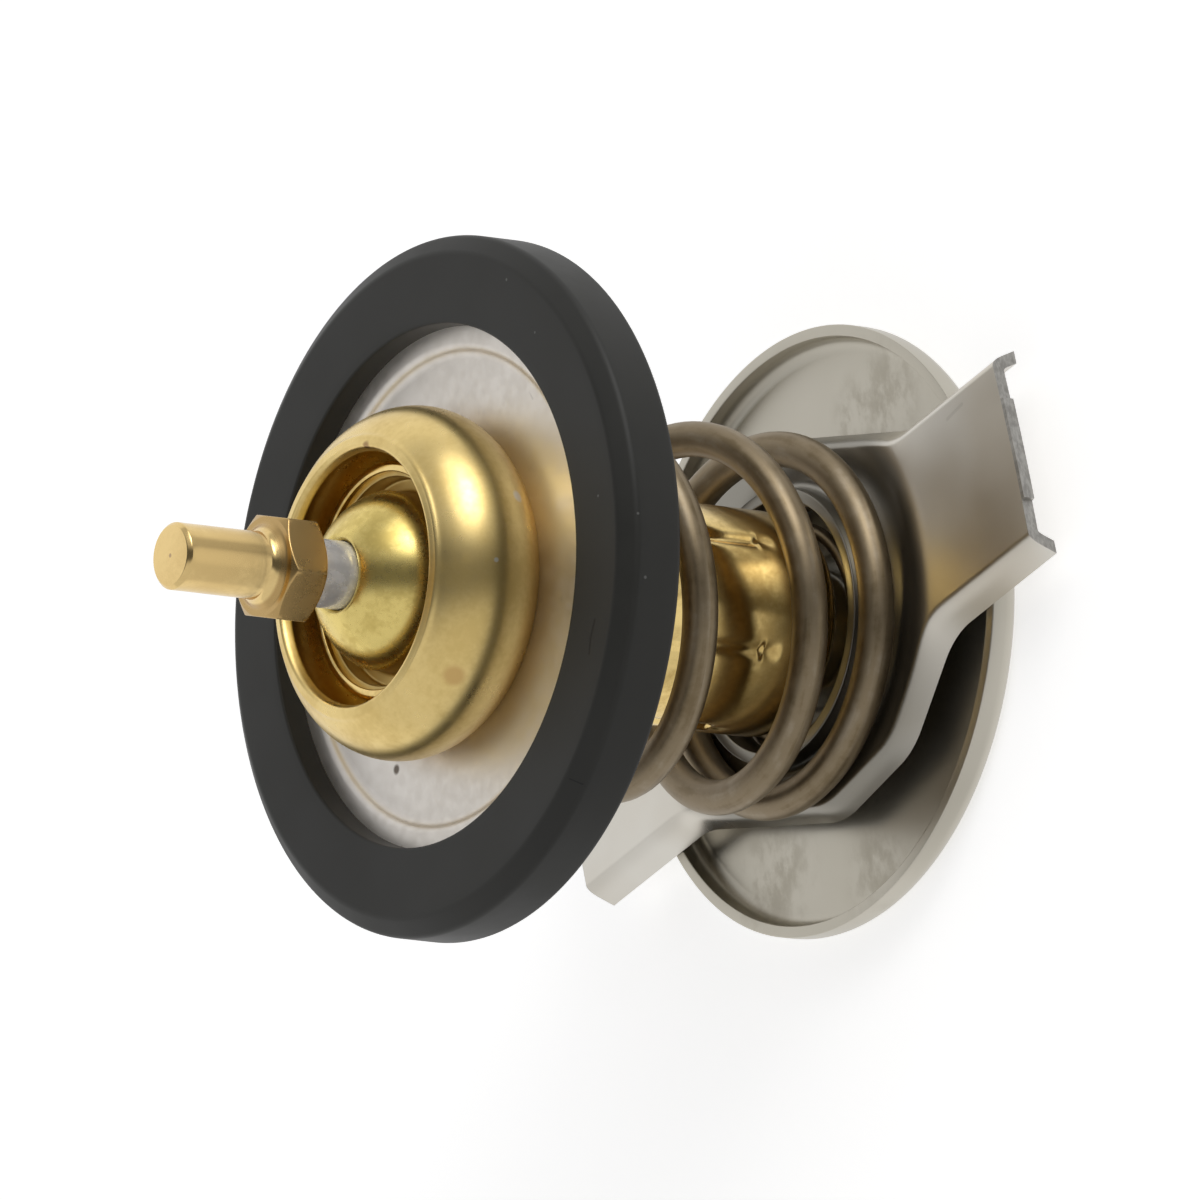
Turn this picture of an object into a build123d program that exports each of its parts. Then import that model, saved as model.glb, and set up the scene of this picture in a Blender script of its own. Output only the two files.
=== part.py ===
from build123d import *
import os
from math import acos, asin, cos, degrees, pi, radians, sin, sqrt, tan

# Insert thermostat of a large engine, standing on the flat back of its bypass disc.
# +Z runs up the axis to the pin, X runs along the two bracket arms, lengths are in mm.

# Running and seating clearances
slide_gap = 0.05
rest_gap = 0.05
trap_gap = 0.15

# Bypass disc, a shallow pan drawn from sheet with its rim upwards
disc_rim_r = 29.3
disc_depth = 3.4
disc_sheet = 1.1
disc_draw_r = 1.9
boss_r = 5.2
boss_rise = 2.0
boss_slope = 1.6

# Stem that carries the disc, and what keeps the disc on it
stem_r = 2.0
stem_flange_r = 5.4
stem_flange_t = 0.7
stem_tail = 0.35
washer_r = 4.3
washer_t = 0.5
clip_r = 3.3
clip_t = 0.6
clip_groove_r = 1.6
clip_mouth = 2.7
clip_below = 0.15
disc_travel = 2.4
disc_spare = 0.55

# Spring of the bypass disc, a cone of round wire
small_wire_r = 0.65
small_top_in = 1.85
small_spread = 1.3
small_turns = 2.6
small_swell = 1.6
small_closing = 0.55

# Bracket, a pressed strap with a spring seat, a collar and flared flanges
arm_reach = 38.1
arm_half = 9.4
hip_near_x = 10.7
hip_near_y = 17.1
hip_far_x = 0.8
hip_far_y = 18.5
waist_near_x = 20.4
waist_far_x = 21.2
hip_r = 7.0
waist_r = 9.0
bracket_sheet = 1.2
flange_depth = 2.9
flange_flare = 24.0
seat_drop = 0.8
seat_r = 19.4
seat_slope = 2.6
collar_r = 13.3
collar_rise = 2.5
collar_blend = 0.9
tab_half = 5.3
tab_step = 0.4
crest_r = 1.4

# Main spring, right hand, its pitch closing towards each seat
main_wire_r = 1.7
main_coil_r = 16.8
main_length = 38.35
main_pitch = 12.7
main_ramp = 1.49
main_start = -170.0
points_per_turn = 12

# Valve plate and the rubber seal moulded on its edge
plate_sheet = 1.2
plate_step = 0.8
plate_step_run = 0.5
step_inside_seal = 2.5
seal_r = 33.3
seal_bevel_in = 1.75
seal_bevel = 1.2
seal_band = 8.5
seal_back_band = 7.1
seal_bite = 6.2
seal_front = 2.45
seal_back = 2.6
seal_edge = 0.5

# Wax case, a deep drawn brass cup with a flared head crimped over the guide
case_r = 10.75
case_wall = 0.8
case_corner_r = 3.4
head_flare = 0.65
head_wall = 0.8
rim_width = 1.1
rim_round = 0.7
rim_edge = 0.25
flute_count = 6
flute_start = 13.5
flute_end = 29.4
flute_depth = 0.4
flute_r = 3.2
flute_turn = 16.65
dent_r = 1.2
dent_depth = 0.65

# Valve collar, the bulged brass cup whose lip curls in round the guide
collar_sheet = 1.2
bulge_in = 1.2
bulge_r = 6.6
bulge_rise = 5.15
lip_spread = 0.95
lip_edge = 0.45
hub_depth = 2.6
hub_gap = 0.02

# Guide: clamped body, groove and a dome bored for the pin
guide_body = 4.55
guide_groove = 1.8
groove_in = 0.4
dome_r = 8.4
dome_lift = 0.2
dome_rise = 5.5
dome_flat_r = 3.9
dome_chamfer = 0.35
wiper_r = 4.6
wiper_t = 1.5
wiper_depth = 3.2

# Rubber boot round the pin, its backing ring and the wax
boot_flange_t = 0.8
boot_r = 6.4
boot_end = 2.6
backing_r = 6.2
backing_t = 1.2

# Pin, and the hexagon cap screwed on its upper end
pin_r = 3.25
pin_in_boot = 20.0
pin_taper = 6.0
pin_end_r = 1.2
pin_bare = 4.25
pin_shank_r = 2.1
pin_shank = 9.0
pin_edge = 0.3
hex_flats = 9.5
hex_height = 4.1
hex_turn = 44.65
hex_corner = 0.75
tip_r = 3.2
tip_length = 10.5
tip_edge = 0.35
tip_root = 0.9
cap_bore_spare = 0.6
cap_bore_gap = 0.02

# Heights up the axis, each seat resting on the one below
rim_z = disc_depth
free_edge_z = rim_z + rest_gap
web_z = free_edge_z + flange_depth
seat_z = web_z - seat_drop
plate_back_z = seat_z + main_length
shoulder_z = plate_back_z + plate_sheet
outer_zone_z = shoulder_z + plate_step
seal_z = outer_zone_z + seal_front
seal_low_z = outer_zone_z - plate_sheet - seal_back
disc_floor_z = disc_sheet
boss_top_z = boss_rise + disc_sheet
case_bottom_z = boss_top_z + disc_travel + disc_spare + stem_flange_t
head_floor_z = shoulder_z + collar_sheet + head_wall
guide_base_z = head_floor_z + boot_flange_t
guide_shoulder_z = guide_base_z + guide_body
head_top_z = guide_shoulder_z + head_wall
dome_centre_z = head_top_z + dome_lift
dome_top_z = dome_centre_z + dome_rise * sqrt(1 - (dome_flat_r / dome_r) ** 2)
hex_z = dome_top_z + pin_bare
tip_z = hex_z + hex_height
top_z = tip_z + tip_length
washer_low_z = boss_rise - rest_gap - washer_t
clip_low_z = washer_low_z - trap_gap - clip_t
head_under_z = shoulder_z + collar_sheet

# Radii that follow from the piece each one fits
hub_r = case_r + hub_gap
head_r = case_r + head_flare
rim_inner_r = head_r - rim_width
groove_r = rim_inner_r - groove_in
bulge_ring_r = head_r - bulge_in
lip_r = head_r + lip_spread
bracket_hole_r = collar_r - bracket_sheet
small_base_r = bracket_hole_r + small_spread
small_top_r = case_r - small_top_in
seal_inner_r = seal_r - seal_band
seal_face_r = seal_r - seal_bevel_in
seal_back_inner_r = seal_r - seal_back_band
plate_edge_r = seal_inner_r + seal_bite
plate_step_r = seal_inner_r - step_inside_seal

# Ways of standing a block on its lower face or hanging it from its upper face
LOW = (Align.CENTER, Align.CENTER, Align.MIN)
TOP = (Align.CENTER, Align.CENTER, Align.MAX)


def ring(r_in, r_out, z0, z1):
    """Plain ring between two radii and two heights."""
    blank = Pos(0, 0, z0) * Cylinder(r_out, z1 - z0, align=LOW)
    if r_in <= 0:
        return blank
    return blank - Pos(0, 0, z0 - 1) * Cylinder(r_in, z1 - z0 + 2, align=LOW)


def turned(outline):
    """Solid of revolution from a closed half section drawn as (radius, height) edges."""
    return revolve(Plane.XZ * make_face(outline), Axis.Z)


def lathe(points):
    """Solid of revolution from the corners of a half section."""
    return turned(Polyline(*points, close=True))


def soften(solid, radius, height, edge_r):
    """Fillet the round edges that lie at one height and have one radius."""
    picked = []
    for edge in solid.edges().filter_by(GeomType.CIRCLE):
        if abs(edge.arc_center.Z - height) < 1e-4 and abs(edge.radius - edge_r) < 1e-4:
            picked.append(edge)
    return fillet(picked, radius)


def wire_along(points, wire_r):
    """Round wire carried along a smooth line through the points."""
    path = Spline(*points)
    section = Plane(origin=path @ 0, z_dir=path % 0) * Circle(wire_r)
    return sweep(section, path=path)


def make_disc():
    """Pan with a raised boss at its centre, so that the clip stays above the flat back."""
    inner_r = disc_rim_r - disc_sheet
    hole_r = stem_r + slide_gap
    half = disc_sheet / 2
    pan = lathe([
        (hole_r, boss_rise), (boss_r, boss_rise), (boss_r + boss_slope, 0),
        (disc_rim_r, 0), (disc_rim_r, disc_depth), (inner_r, disc_depth), (inner_r, disc_floor_z),
        (boss_r + boss_slope + half, disc_floor_z), (boss_r + half, boss_top_z), (hole_r, boss_top_z),
    ])
    pan = soften(pan, disc_draw_r, 0, disc_rim_r)
    return soften(pan, disc_draw_r - half, disc_floor_z, inner_r)


def make_stem():
    """Turned stem with a flange brazed to the case and a groove for the clip."""
    flange_low = case_bottom_z - stem_flange_t
    groove_high = clip_low_z + clip_t
    tail_z = clip_low_z - clip_below - stem_tail
    return lathe([
        (0, case_bottom_z), (stem_flange_r, case_bottom_z), (stem_flange_r, flange_low),
        (stem_r, flange_low), (stem_r, groove_high), (clip_groove_r, groove_high),
        (clip_groove_r, clip_low_z), (stem_r, clip_low_z), (stem_r, tail_z + stem_tail),
        (stem_r - stem_tail, tail_z), (0, tail_z),
    ])


def make_washer():
    """Plain washer between the disc's boss and the clip."""
    return ring(stem_r + slide_gap, washer_r, washer_low_z, washer_low_z + washer_t)


def make_clip():
    """Open retaining clip pushed into the stem's groove from the side."""
    clip = ring(clip_groove_r, clip_r, clip_low_z, clip_low_z + clip_t)
    mouth = Pos(0, -clip_r, clip_low_z) * Box(clip_mouth, 2 * clip_r, 3 * clip_t)
    return clip - mouth


def make_small_spring():
    """Cone of wire from the case's rounded end down to the pan's floor."""
    reach = case_corner_r + small_wire_r + rest_gap
    lean = asin((small_top_r - case_r + case_corner_r) / reach)
    top_z_of_wire = case_bottom_z + case_corner_r - reach * cos(lean)
    base_z_of_wire = disc_floor_z + small_wire_r + rest_gap
    steps = round(small_turns * points_per_turn)
    points = []
    for i in range(steps + 1):
        share = i / steps
        rise = share - sin(2 * pi * share) / (2 * pi) * small_closing
        radius = small_base_r - (small_base_r - small_top_r) * rise ** small_swell
        turn = 2 * pi * small_turns * share
        height = base_z_of_wire + (top_z_of_wire - base_z_of_wire) * rise
        points.append((radius * cos(turn), radius * sin(turn), height))
    return wire_along(points, small_wire_r)


def main_rise(turns, turns_in_all):
    """Height gained by the main spring's wire: the pitch grows from nothing, holds, and dies away."""
    left = turns_in_all - turns
    if turns < main_ramp:
        return main_pitch * turns ** 2 / (2 * main_ramp)
    if left < main_ramp:
        return main_length - 2 * main_wire_r - main_pitch * left ** 2 / (2 * main_ramp)
    return main_pitch * (turns - main_ramp / 2)


def make_main_spring():
    """Right-hand coil between the bracket's seat and the valve plate."""
    turns_in_all = (main_length - 2 * main_wire_r) / main_pitch + main_ramp
    steps = round(turns_in_all * points_per_turn)
    points = []
    for i in range(steps + 1):
        turns = turns_in_all * i / steps
        angle = radians(main_start) + 2 * pi * turns
        height = seat_z + main_wire_r + main_rise(turns, turns_in_all)
        points.append((main_coil_r * cos(angle), main_coil_r * sin(angle), height))
    return wire_along(points, main_wire_r)


def brought_in(corners, inset):
    """Corners of an anticlockwise outline, each moved inwards by the inset from both its sides."""
    moved = []
    for i, here in enumerate(corners):
        before = (here - corners[i - 1]).normalized()
        after = (corners[(i + 1) % len(corners)] - here).normalized()
        inward = Vector(-before.Y - after.Y, before.X + after.X)
        moved.append(here + inward * (inset / (1 + before.dot(after))))
    return moved


def strap_plan(inset):
    """Plan of the strap: straight arms and a wider body, the same after half a turn, with an inset."""
    half = [
        Vector(-2 * arm_reach, -arm_half), Vector(-waist_far_x, -arm_half), Vector(-hip_far_x, -hip_far_y),
        Vector(hip_near_x, -hip_near_y), Vector(waist_near_x, -arm_half), Vector(2 * arm_reach, -arm_half),
    ]
    corners = brought_in(half + [corner * -1 for corner in half], inset)
    plan = make_face(Polyline(*corners, close=True))
    hips = [vertex for vertex in plan.vertices() if abs(vertex.Y) > arm_half + crest_r]
    plan = fillet(hips, hip_r - inset)
    waists = []
    for vertex in plan.vertices():
        if abs(vertex.X) < arm_reach and abs(abs(vertex.Y) - arm_half + inset) < rest_gap:
            waists.append(vertex)
    return fillet(waists, waist_r + inset)


def round_crest(blank):
    """Rounds the upper outline of the strap's blank, past the arms' ends too."""
    crest = []
    for edge in blank.edges():
        raised = edge.bounding_box().min.Z > web_z - rest_gap
        if raised and abs(edge.center().X) < 2 * arm_reach - rest_gap:
            crest.append(edge)
    return fillet(crest, crest_r)


def make_bracket():
    """Strap pressed as one sheet: web, flared flanges, sunk spring seat, collar and end tabs."""
    wall = bracket_sheet / cos(radians(flange_flare))
    wide = 4 * arm_reach
    outer = extrude(Pos(0, 0, web_z) * strap_plan(0), -flange_depth, taper=-flange_flare)
    inner = extrude(Pos(0, 0, web_z) * strap_plan(wall), -2 * flange_depth, taper=-flange_flare)
    seat_edge = seat_r + seat_slope
    sunk = lathe([
        (0, web_z + seat_drop), (seat_edge, web_z + seat_drop), (seat_edge, web_z),
        (seat_r, seat_z), (0, seat_z),
    ])
    under_seat = Pos(0, 0, -bracket_sheet) * sunk
    below_web = Pos(0, 0, web_z - bracket_sheet) * Box(wide, wide, wide, align=TOP)
    hollow = (inner & below_web) - under_seat
    length_box = Pos(0, 0, web_z) * Box(2 * arm_reach, wide, wide)
    tabs = Pos(0, 0, web_z) * Box(2 * (arm_reach + tab_step), 2 * tab_half, 2 * bracket_sheet)
    strap = (round_crest(outer) - sunk - hollow) & (length_box + tabs)
    strap = strap - ring(0, bracket_hole_r, 0, seal_z)
    collar = ring(bracket_hole_r, collar_r, seat_z - bracket_sheet, seat_z + collar_rise)
    strap = strap + collar
    strap = soften(strap, collar_blend, seat_z, collar_r)
    return soften(strap, collar_blend, seat_z - bracket_sheet, bracket_hole_r)


def make_valve_plate():
    """Plate with a step between its inner zone and the outer zone that carries the seal."""
    hole_r = hub_r + collar_sheet + slide_gap
    top_step = plate_step_r + plate_step_run
    outer_back_z = plate_back_z + plate_step
    return lathe([
        (hole_r, plate_back_z), (plate_step_r, plate_back_z), (top_step, outer_back_z),
        (plate_edge_r, outer_back_z), (plate_edge_r, outer_zone_z), (top_step, outer_zone_z),
        (plate_step_r, shoulder_z), (hole_r, shoulder_z),
    ])


def make_seal():
    """Rubber ring with a groove that holds the plate's edge."""
    outer_back_z = outer_zone_z - plate_sheet
    seal = lathe([
        (seal_inner_r, outer_zone_z), (seal_inner_r, seal_z), (seal_face_r, seal_z),
        (seal_r, seal_z - seal_bevel), (seal_r, seal_low_z), (seal_back_inner_r, seal_low_z),
        (seal_back_inner_r, outer_back_z), (plate_edge_r, outer_back_z), (plate_edge_r, outer_zone_z),
    ])
    seal = soften(seal, seal_edge, seal_low_z, seal_r)
    return soften(seal, seal_edge, seal_low_z, seal_back_inner_r)


def make_collar():
    """Bulged brass cup: hub on the case, base on the plate, and a lip that curls inwards."""
    centre_z = shoulder_z + bulge_rise
    floor_z = shoulder_z + collar_sheet
    inside_r = bulge_r - collar_sheet
    lip_angle = acos((lip_r - bulge_ring_r) / bulge_r)
    low_outer = -asin(bulge_rise / bulge_r)
    low_inner = -asin((bulge_rise - collar_sheet) / inside_r)

    def on_arc(radius, angle):
        return (bulge_ring_r + radius * cos(angle), centre_z + radius * sin(angle))

    hub_low_z = shoulder_z - hub_depth
    hub_out = hub_r + collar_sheet
    outer_arc = ThreePointArc(on_arc(bulge_r, low_outer), on_arc(bulge_r, 0), on_arc(bulge_r, lip_angle))
    inner_arc = ThreePointArc(on_arc(inside_r, lip_angle), on_arc(inside_r, 0), on_arc(inside_r, low_inner))
    hub = Polyline(
        inner_arc @ 1, (hub_r, floor_z), (hub_r, hub_low_z), (hub_out, hub_low_z), (hub_out, shoulder_z),
        outer_arc @ 0,
    )
    lip = Line(outer_arc @ 1, inner_arc @ 0)
    cup = turned(outer_arc + lip + inner_arc + hub)
    return soften(cup, lip_edge, (outer_arc @ 1).Y, lip_r)


def make_case():
    """Deep drawn case: rounded end, fluted wall, flared head and a rim crimped inwards."""
    inside_r = case_r - case_wall
    inside_corner = case_corner_r - case_wall
    floor_z = case_bottom_z + case_wall
    bend_r = case_r - case_corner_r
    head_in_r = head_r - head_wall
    outer_bend = RadiusArc((bend_r, case_bottom_z), (case_r, case_bottom_z + case_corner_r), -case_corner_r)
    inner_bend = RadiusArc((inside_r, floor_z + inside_corner), (bend_r, floor_z), inside_corner)
    wall = Polyline(
        outer_bend @ 1, (case_r, head_under_z), (head_r, head_under_z), (head_r, head_top_z),
        (rim_inner_r, head_top_z), (rim_inner_r, guide_shoulder_z), (head_in_r, guide_shoulder_z),
        (head_in_r, head_floor_z), (inside_r, head_floor_z), inner_bend @ 0,
    )
    floor = Polyline(inner_bend @ 1, (0, floor_z), (0, case_bottom_z), outer_bend @ 0)
    case = turned(outer_bend + wall + inner_bend + floor)
    case = soften(case, rim_round, head_top_z, head_r)
    case = soften(case, rim_edge, head_top_z, rim_inner_r)
    flute_z = shoulder_z - flute_end
    flute_run = flute_end - flute_start
    flute = Pos(case_r + flute_r - flute_depth, 0, flute_z) * Cylinder(flute_r, flute_run, align=LOW)
    dent = Pos(case_r + dent_r - dent_depth, 0, flute_z) * Sphere(dent_r)
    marks = PolarLocations(0, flute_count, start_angle=flute_turn) * (flute + dent)
    return case - marks


def make_guide():
    """Turned guide: clamped body, round groove, flattened dome, bore and two seal recesses."""
    bore_r = pin_r + slide_gap
    body_out = head_r - head_wall
    groove_z = guide_shoulder_z - guide_groove
    stop_angle = degrees(acos(dome_flat_r / dome_r))
    dome = EllipticalCenterArc((0, dome_centre_z), dome_r, dome_rise, arc_size=stop_angle)
    wiper_top_z = dome_top_z - wiper_depth
    wiper_low_z = wiper_top_z - wiper_t
    inside = Polyline(
        dome @ 1, (bore_r + dome_chamfer, dome_top_z), (bore_r, dome_top_z - dome_chamfer),
        (bore_r, wiper_top_z), (wiper_r, wiper_top_z), (wiper_r, wiper_low_z), (bore_r, wiper_low_z),
        (bore_r, guide_base_z + backing_t), (backing_r, guide_base_z + backing_t),
        (backing_r, guide_base_z), (body_out, guide_base_z), (body_out, guide_shoulder_z),
        (groove_r, guide_shoulder_z), (groove_r, groove_z), (dome_r, groove_z), dome @ 0,
    )
    return turned(dome + inside)


def make_wiper():
    """Rubber ring in the guide's upper recess."""
    top = dome_top_z - wiper_depth
    return ring(pin_r + slide_gap, wiper_r, top - wiper_t, top)


def make_backing_ring():
    """Stiff ring that keeps the boot from creeping up the pin."""
    return ring(pin_r + slide_gap, backing_r, guide_base_z, guide_base_z + backing_t)


def pin_tail(gap):
    """Half-section corners of the pin's tapered tail, let out by a gap."""
    low = guide_base_z - pin_in_boot
    return [(0, low - gap), (pin_end_r + gap, low - gap), (pin_r + gap, low + pin_taper)]


def make_boot():
    """Rubber boot: a flange clamped under the guide and a blind sleeve round the pin."""
    bore = pin_tail(slide_gap)
    bottom_z = bore[0][1] - boot_end
    flange_r = head_r - head_wall
    return lathe(bore + [
        (pin_r + slide_gap, guide_base_z), (flange_r, guide_base_z), (flange_r, head_floor_z),
        (boot_r, head_floor_z), (boot_r, bottom_z), (0, bottom_z),
    ])


def make_wax():
    """Wax that fills the case round the boot."""
    inside_r = case_r - case_wall
    inside_corner = case_corner_r - case_wall
    floor_z = case_bottom_z + case_wall
    fill = ring(0, inside_r, floor_z, head_floor_z)
    fill = soften(fill, inside_corner, floor_z, inside_r)
    boot_low = guide_base_z - pin_in_boot - slide_gap - boot_end
    return fill - ring(0, boot_r, boot_low, head_floor_z + 1)


def make_pin():
    """Steel pin with a tapered tail and a reduced end for the cap."""
    return lathe(pin_tail(0) + [
        (pin_r, hex_z - pin_edge), (pin_r - pin_edge, hex_z), (pin_shank_r, hex_z),
        (pin_shank_r, hex_z + pin_shank), (0, hex_z + pin_shank),
    ])


def make_cap():
    """Brass cap: a hexagon with both faces chamfered, a short cone and a plain tip."""
    corner_r = hex_flats / sqrt(3)
    prism = Pos(0, 0, hex_z) * Rot(0, 0, hex_turn) * extrude(RegularPolygon(corner_r, 6), hex_height)
    slope = hex_corner * tan(radians(30))
    spindle = lathe([
        (0, hex_z), (corner_r - hex_corner, hex_z), (corner_r, hex_z + slope),
        (corner_r, tip_z - slope), (corner_r - hex_corner, tip_z), (0, tip_z),
    ])
    tip = lathe([
        (0, tip_z - hex_height / 2), (tip_r + tip_root, tip_z - hex_height / 2), (tip_r + tip_root, tip_z),
        (tip_r, tip_z + tip_root), (tip_r, top_z - tip_edge), (tip_r - tip_edge, top_z), (0, top_z),
    ])
    bore = ring(0, pin_shank_r + cap_bore_gap, hex_z - 1, hex_z + pin_shank + cap_bore_spare)
    return (prism & spindle) + tip - bore


makers = {
    "bypass_disc": make_disc,
    "bypass_stem": make_stem,
    "stem_washer": make_washer,
    "stem_clip": make_clip,
    "bypass_spring": make_small_spring,
    "bracket": make_bracket,
    "main_spring": make_main_spring,
    "valve_plate": make_valve_plate,
    "rubber_seal": make_seal,
    "valve_collar": make_collar,
    "wax_case": make_case,
    "wax_charge": make_wax,
    "rubber_boot": make_boot,
    "backing_ring": make_backing_ring,
    "piston_guide": make_guide,
    "pin_wiper": make_wiper,
    "piston_pin": make_pin,
    "piston_cap": make_cap,
}

os.makedirs("parts", exist_ok=True)
for name, make in makers.items():
    export_step(make(), os.path.join("parts", name + ".step"))
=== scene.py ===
import bmesh
import bpy
import numpy as np
from mathutils import Matrix, Vector


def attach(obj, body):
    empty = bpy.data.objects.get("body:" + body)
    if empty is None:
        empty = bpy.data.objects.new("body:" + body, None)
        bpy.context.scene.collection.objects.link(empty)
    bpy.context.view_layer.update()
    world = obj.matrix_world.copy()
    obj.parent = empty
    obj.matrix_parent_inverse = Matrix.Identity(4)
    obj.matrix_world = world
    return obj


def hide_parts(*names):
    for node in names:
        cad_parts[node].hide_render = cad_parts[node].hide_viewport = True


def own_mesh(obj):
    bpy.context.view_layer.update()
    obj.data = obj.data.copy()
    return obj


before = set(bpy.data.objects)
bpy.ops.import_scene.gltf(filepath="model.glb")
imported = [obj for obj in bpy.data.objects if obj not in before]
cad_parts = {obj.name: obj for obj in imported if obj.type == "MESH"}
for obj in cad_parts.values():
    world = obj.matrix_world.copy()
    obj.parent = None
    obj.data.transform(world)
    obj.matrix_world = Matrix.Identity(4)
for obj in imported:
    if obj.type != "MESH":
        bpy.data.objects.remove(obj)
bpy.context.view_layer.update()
mm = 0.001

# Heights up the axis in mm, the same as in the CAD
heights = {
    "seat": 5.55, "web": 6.35, "caseBottom": 6.75, "plateBack": 43.9, "shoulder": 45.1, "outerZone": 45.9,
    "sealFront": 48.35, "headFloor": 47.1, "guideBase": 47.9, "guideShoulder": 52.45, "headTop": 53.25,
    "domeCentre": 53.45, "domeTop": 58.321, "hexLow": 62.571, "hexTop": 66.671, "tipTop": 77.171,
}


def arcPoints(centreR, centreZ, radius, startDeg, endDeg, steps):
    # centre plus radius times cosine and sine of an angle in even steps
    angle = np.radians(np.linspace(startDeg, endDeg, steps))
    return np.column_stack([centreR + radius * np.cos(angle), centreZ + radius * np.sin(angle)])


def roundedLine(corners, closed=True, steps=6):
    # each corner (r, z, rounding) becomes a quadratic curve between the two points at its rounding's distance
    where = np.array([c[:2] for c in corners], float)
    count = len(where)
    pieces = []
    for i, corner in enumerate(corners):
        here = where[i]
        reach = corner[2] if len(corner) > 2 else 0.0
        if reach <= 0 or not (closed or 0 < i < count - 1):
            pieces.append(here[None, :])
            continue
        before, after = where[i - 1] - here, where[(i + 1) % count] - here
        before = here + before * min(reach / np.linalg.norm(before), 0.49)
        after = here + after * min(reach / np.linalg.norm(after), 0.49)
        t = np.linspace(0, 1, steps)[:, None]
        pieces.append((1 - t) ** 2 * before + 2 * t * (1 - t) * here + t ** 2 * after)
    return np.vstack(pieces)


def denser(line, longest, closed=True):
    # straight steps longer than the longest one allowed are divided evenly
    ends = np.vstack([line, line[:1]]) if closed else line
    parts = []
    for a, b in zip(ends[:-1], ends[1:]):
        n = max(1, int(np.ceil(np.linalg.norm(b - a) / longest)))
        parts.append(a + (b - a) * np.linspace(0, 1, n, endpoint=False)[:, None])
    if not closed:
        parts.append(ends[-1:])
    return np.vstack(parts)


def lengthAlong(line):
    return np.concatenate([[0], np.cumsum(np.linalg.norm(np.diff(line, axis=0), axis=1))])


def gridFaces(rows, cols, closedAlong, closedAround, start=0):
    # quads between neighbours of a grid of points, going round where it closes on itself
    i, j = np.meshgrid(np.arange(rows if closedAlong else rows - 1),
                       np.arange(cols if closedAround else cols - 1), indexing="ij")
    i2, j2 = (i + 1) % rows, (j + 1) % cols
    quads = np.stack([i * cols + j, i * cols + j2, i2 * cols + j2, i2 * cols + j], -1).reshape(-1, 4)
    return i, j, quads + start


def finishMesh(name, mesh, sharpDeg):
    # doubles are merged, so that seams and poles close, and faces are turned outwards
    work = bmesh.new()
    work.from_mesh(mesh)
    bmesh.ops.remove_doubles(work, verts=work.verts, dist=2e-7)
    bmesh.ops.dissolve_degenerate(work, edges=work.edges, dist=1e-7)
    bmesh.ops.recalc_face_normals(work, faces=work.faces)
    work.to_mesh(mesh)
    work.free()
    mesh.shade_smooth()
    mesh.set_sharp_from_angle(angle=np.radians(sharpDeg))
    piece = bpy.data.objects.new(name, mesh)
    bpy.context.scene.collection.objects.link(piece)
    return piece


def gridPiece(name, grid, along, around, closedAlong, sharpDeg):
    # grid[i, j] holds points, i along the profile and j round it, where it closes; a row drawn to one point becomes
    # a pole
    rows, cols = grid.shape[:2]
    i, j, quads = gridFaces(rows, cols, closedAlong, True)
    mesh = bpy.data.meshes.new(name)
    mesh.from_pydata((grid.reshape(-1, 3) * mm).tolist(), [], quads.tolist())
    along = np.append(along, along[-1] + 1) if closedAlong else along
    around = np.append(around, 2 * around[-1] - around[-2])
    layer = mesh.uv_layers.new(name="surface")
    u = np.stack([around[j], around[j + 1], around[j + 1], around[j]], -1).reshape(-1)
    v = np.stack([along[i], along[i], along[i + 1], along[i + 1]], -1).reshape(-1)
    layer.data.foreach_set("uv", np.column_stack([u, v]).astype(np.float32).ravel())
    return finishMesh(name, mesh, sharpDeg)


def turnedPiece(name, profile, columns, longest, closed=True, shape=None, sharpDeg=32):
    # the half section (r, z) carried round the axis; shape may change r and z by the angle
    profile = denser(profile, longest, closed)
    theta = np.linspace(0, 2 * np.pi, columns, endpoint=False)
    r = np.repeat(profile[:, :1], columns, 1)
    z = np.repeat(profile[:, 1:], columns, 1)
    if shape is not None:
        r, z = shape(r, z, theta[None, :])
    grid = np.stack([r * np.cos(theta), r * np.sin(theta), z], -1)
    return gridPiece(name, grid, lengthAlong(profile), theta / (2 * np.pi), closed, sharpDeg)


def wirePiece(name, line, wireR, sides, endRound=0.3):
    # a circle carried along the line, square to it, closing to a point through a rounded edge at each end; the line's
    # points nearest the ends are left out to make room for the edge
    edgeSteps, leftOut = 6, 2
    tangent = np.gradient(line, axis=0)
    tangent /= np.linalg.norm(tangent, axis=1)[:, None]
    outward = line * [1, 1, 0]
    outward -= (outward * tangent).sum(1)[:, None] * tangent
    outward /= np.linalg.norm(outward, axis=1)[:, None]
    turn = np.linspace(0, np.pi / 2, edgeSteps)
    radii = np.concatenate([[0], wireR - endRound * (1 - np.sin(turn))])
    inset = np.concatenate([[0], endRound * (1 - np.cos(turn))])
    front = line[0] + inset[:, None] * tangent[0]
    back = line[-1] - inset[::-1, None] * tangent[-1]
    body = slice(leftOut, len(line) - leftOut)
    centres = np.vstack([front, line[body], back])
    ends = (len(radii), 1)
    outward = np.vstack([np.tile(outward[0], ends), outward[body], np.tile(outward[-1], ends)])
    tangent = np.vstack([np.tile(tangent[0], ends), tangent[body], np.tile(tangent[-1], ends)])
    sideways = np.cross(tangent, outward)
    size = np.concatenate([radii, np.full(len(line) - 2 * leftOut, wireR), radii[::-1]])
    phi = np.linspace(0, 2 * np.pi, sides, endpoint=False)
    spokes = np.cos(phi)[None, :, None] * outward[:, None] + np.sin(phi)[None, :, None] * sideways[:, None]
    grid = centres[:, None] + size[:, None, None] * spokes
    return gridPiece(name, grid, lengthAlong(centres), phi / (2 * np.pi), False, 40)


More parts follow.
